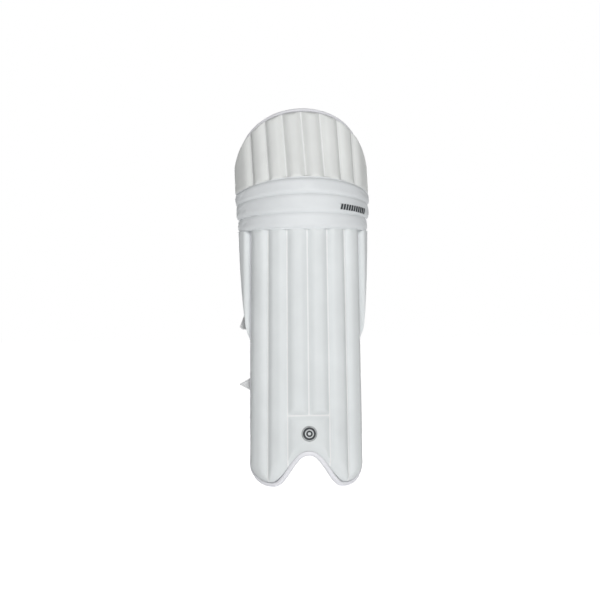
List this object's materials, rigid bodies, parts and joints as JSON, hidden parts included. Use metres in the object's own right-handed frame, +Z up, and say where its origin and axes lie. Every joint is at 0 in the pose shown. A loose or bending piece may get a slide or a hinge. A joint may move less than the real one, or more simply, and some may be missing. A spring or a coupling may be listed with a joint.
{
  "type": "cricket leg pad",
  "caption": "Batting leg pad with fluted cane-stiffened shin section, padded knee rolls, domed top hat, side wings, inner bolsters and hook-and-loop straps.",
  "frame": {"origin": "on the floor, under the middle of the pad's width and depth", "axes": "+Z up the leg, front of the pad facing -Y, +X to the right seen from the front"},
  "size_m": [0.2444, 0.159, 0.6907],
  "materials": {
    "cover_leather": "white polyurethane facing, fine grain, satin",
    "roll_leather": "white polyurethane facing, satin",
    "piping": "white polyurethane-covered cord, semi-gloss",
    "lining_cloth": "off-white woven cotton lining",
    "bolster_cloth": "off-white brushed cloth over wadding",
    "wadding": "cotton wadding",
    "foam": "closed-cell foam, matt",
    "cane": "split cane, natural",
    "strap_webbing": "white cloth-covered strap",
    "hook_tape": "nylon hook tape",
    "badge": "dark grey print on a sewn patch, matt"
  },
  "bodies": {
    "shin": {"shin_cover": "cover_leather", "shin_foam_board": "foam", "shin_lining": "lining_cloth", "shin_fill_1": "wadding", "shin_fill_2": "wadding", "shin_fill_3": "wadding", "shin_fill_4": "wadding", "shin_fill_5": "wadding", "shin_fill_6": "wadding", "instep_fill": "wadding", "shin_cane_1": "cane", "shin_cane_2": "cane", "shin_cane_3": "cane", "shin_cane_4": "cane", "shin_cane_5": "cane", "shin_cane_6": "cane", "instep_binding": "piping", "side_piping_left": "piping", "side_piping_right": "piping", "instep_badge": "badge", "centre_bolster": "bolster_cloth", "left_bolster": "bolster_cloth", "right_bolster": "bolster_cloth", "knee_bolster": "bolster_cloth", "knee_strap_root": "strap_webbing", "knee_strap_tab": "strap_webbing", "calf_strap_root": "strap_webbing", "calf_strap_tab": "strap_webbing", "ankle_strap_root": "strap_webbing", "ankle_strap_tab": "strap_webbing"},
    "left_wing": {"wing_cover_left": "cover_leather", "wing_fill_left": "wadding"},
    "right_wing": {"wing_cover_right": "cover_leather", "wing_fill_right": "wadding"},
    "lower_roll": {"lower_roll_cover": "roll_leather", "lower_roll_core": "foam", "lower_roll_backing": "lining_cloth"},
    "middle_roll": {"middle_roll_cover": "roll_leather", "middle_roll_core": "foam", "middle_roll_backing": "lining_cloth", "roll_label": "badge"},
    "upper_roll": {"upper_roll_cover": "roll_leather", "upper_roll_core": "foam", "upper_roll_backing": "lining_cloth"},
    "top_hat": {"top_hat_cover": "cover_leather", "top_hat_wadding": "wadding", "top_hat_foam_board": "foam", "top_hat_lining": "lining_cloth", "top_hat_piping": "piping"},
    "knee_strap": {"knee_strap_base": "strap_webbing"},
    "knee_strap_tail": {"knee_strap_end": "strap_webbing", "knee_strap_hook": "hook_tape"},
    "calf_strap": {"calf_strap_base": "strap_webbing"},
    "calf_strap_tail": {"calf_strap_end": "strap_webbing", "calf_strap_hook": "hook_tape"},
    "ankle_strap": {"ankle_strap_base": "strap_webbing"},
    "ankle_strap_tail": {"ankle_strap_end": "strap_webbing", "ankle_strap_hook": "hook_tape"}
  },
  "joints": [
    {"name": "knee_seam_1", "type": "hinge", "parent": "shin", "child": "lower_roll", "pos_m": [0, -0.03596, 0.46996], "axis": [-1, 0, 0], "range_deg": [-4, 5], "stiffness_Nm_per_rad": 4},
    {"name": "knee_seam_2", "type": "hinge", "parent": "lower_roll", "child": "middle_roll", "pos_m": [0, -0.03351, 0.49534], "axis": [-1, 0, 0], "range_deg": [-4, 5]},
    {"name": "knee_seam_3", "type": "hinge", "parent": "middle_roll", "child": "upper_roll", "pos_m": [0, -0.0276, 0.52577], "axis": [-1, 0, 0], "range_deg": [-4, 5]},
    {"name": "knee_seam_4", "type": "hinge", "parent": "upper_roll", "child": "top_hat", "pos_m": [0, -0.02021, 0.5507], "axis": [-1, 0, 0], "range_deg": [-4, 5]},
    {"name": "left_wing_flare", "type": "hinge", "parent": "shin", "child": "left_wing", "pos_m": [-0.09584, -0.00795, 0.26796], "axis": [0.0105, -0.0169, 0.9998], "range_deg": [0, 10]},
    {"name": "right_wing_flare", "type": "hinge", "parent": "shin", "child": "right_wing", "pos_m": [0.09584, -0.00795, 0.26796], "axis": [0.0105, 0.0169, -0.9998], "range_deg": [0, 10]},
    {"name": "knee_strap_swing", "type": "hinge", "parent": "shin", "child": "knee_strap", "pos_m": [0.10082, 0.03354, 0.42996], "axis": [0, 0, -1], "range_deg": [0, 110]},
    {"name": "knee_strap_unfold", "type": "hinge", "parent": "knee_strap", "child": "knee_strap_tail", "pos_m": [-0.00418, 0.078, 0.42996], "axis": [0, 0, -1], "range_deg": [0, 80]},
    {"name": "calf_strap_swing", "type": "hinge", "parent": "shin", "child": "calf_strap", "pos_m": [0.09698, 0.01744, 0.30696], "axis": [0, 0, -1], "range_deg": [0, 110]},
    {"name": "calf_strap_unfold", "type": "hinge", "parent": "calf_strap", "child": "calf_strap_tail", "pos_m": [-0.00672, 0.06991, 0.30696], "axis": [0, 0, -1], "range_deg": [0, 80]},
    {"name": "ankle_strap_swing", "type": "hinge", "parent": "shin", "child": "ankle_strap", "pos_m": [0.09087, 0.00271, 0.18796], "axis": [0, 0, -1], "range_deg": [0, 110]},
    {"name": "ankle_strap_unfold", "type": "hinge", "parent": "ankle_strap", "child": "ankle_strap_tail", "pos_m": [-0.01002, 0.06561, 0.18796], "axis": [0, 0, -1], "range_deg": [0, 80]}
  ],
  "couplings": [
    {"joint": "knee_seam_2", "follows": "knee_seam_1", "ratio": 1},
    {"joint": "knee_seam_3", "follows": "knee_seam_1", "ratio": 1},
    {"joint": "knee_seam_4", "follows": "knee_seam_1", "ratio": 1}
  ]
}
